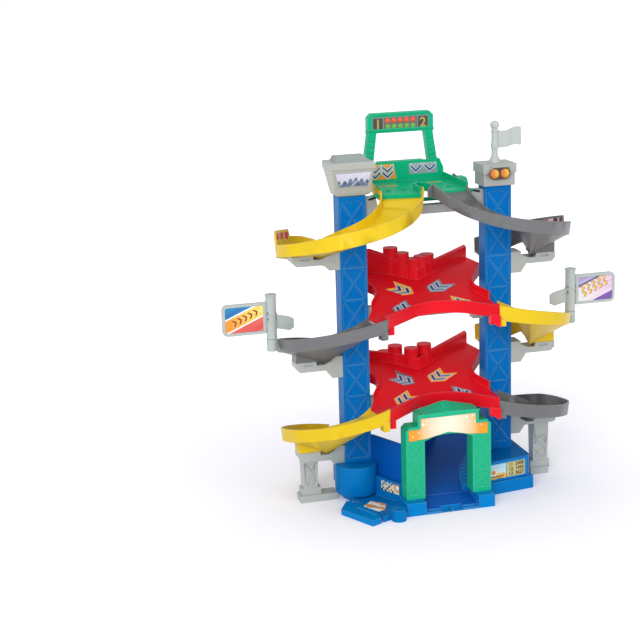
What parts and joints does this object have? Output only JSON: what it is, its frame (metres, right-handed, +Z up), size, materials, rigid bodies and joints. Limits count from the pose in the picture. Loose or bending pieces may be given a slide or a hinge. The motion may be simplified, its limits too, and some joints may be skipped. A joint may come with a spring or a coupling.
{
  "type": "toy race track",
  "caption": "Toy race track: two lattice towers with descending turns, crossing plates, a gated start platform and an exit ramp under an arch",
  "frame": {"origin": "on the floor, half way between the two tower centre lines, at the foot under the exit ramp", "axes": "+X to the right seen from the front, +Y to the back, +Z up"},
  "size_m": [0.631, 0.2576, 0.5745],
  "materials": {
    "tower_blue": "smooth moulded blue",
    "deep_blue": "smooth moulded dark blue",
    "light_blue": "smooth moulded light blue",
    "yellow": "smooth moulded yellow",
    "track_grey": "smooth moulded dark grey",
    "pale_grey": "smooth moulded pale grey",
    "red": "smooth moulded red",
    "shell_grey": "smooth moulded warm pale grey",
    "green": "smooth moulded green",
    "window_print": "printed lavender panel",
    "bezel_brown": "dark brown moulded surround",
    "lens_amber": "glossy amber lens",
    "pole_grey": "smooth moulded pale grey",
    "sign_grey": "smooth moulded grey"
  },
  "bodies": {
    "frame": {"base_left": "tower_blue", "base_right": "tower_blue", "bracket_left_1": "pale_grey", "bracket_left_2": "pale_grey", "bracket_right_1": "pale_grey", "bracket_right_2": "pale_grey", "control_cab": "shell_grey", "control_cab_roof": "shell_grey", "control_cab_window": "window_print", "crossbar_lower": "pale_grey", "crossbar_top": "pale_grey", "crossbar_upper": "pale_grey", "crossing_lower": "red", "crossing_upper": "red", "entry_plate": "tower_blue", "exit_ramp": "deep_blue", "finish_arch": "green", "flag": "pole_grey", "flag_pole": "pole_grey", "front_sill": "light_blue", "lamp_bezel": "bezel_brown", "lamp_housing": "shell_grey", "lamp_lens_left": "lens_amber", "lamp_lens_right": "lens_amber", "left_sign_socket": "sign_grey", "leg_left": "pale_grey", "leg_right": "pale_grey", "right_sign_socket": "sign_grey", "start_gantry": "green", "start_platform": "green", "tower_left_lower": "tower_blue", "tower_left_middle": "tower_blue", "tower_left_upper": "tower_blue", "tower_right_lower": "tower_blue", "tower_right_middle": "tower_blue", "tower_right_upper": "tower_blue", "turn_left_1": "yellow", "turn_left_2": "track_grey", "turn_left_3": "yellow", "turn_right_1": "track_grey", "turn_right_2": "yellow", "turn_right_3": "track_grey"},
    "starter": {"start_lever": "green", "start_gate": "green"},
    "left_sign_body": {"left_sign": "sign_grey"},
    "right_sign_body": {"right_sign": "sign_grey"}
  },
  "joints": [
    {"name": "start_press", "type": "hinge", "parent": "frame", "child": "starter", "pos_m": [0, 0.106, 0.458], "axis": [1, 0, 0], "range_deg": [0, 5], "stiffness_Nm_per_rad": 2},
    {"name": "left_sign_spin", "type": "hinge", "parent": "frame", "child": "left_sign_body", "pos_m": [-0.2405, 0, 0.28], "axis": [0, 0, 1], "continuous": true},
    {"name": "right_sign_spin", "type": "hinge", "parent": "frame", "child": "right_sign_body", "pos_m": [0.2405, 0, 0.28], "axis": [0, 0, 1], "continuous": true}
  ]
}
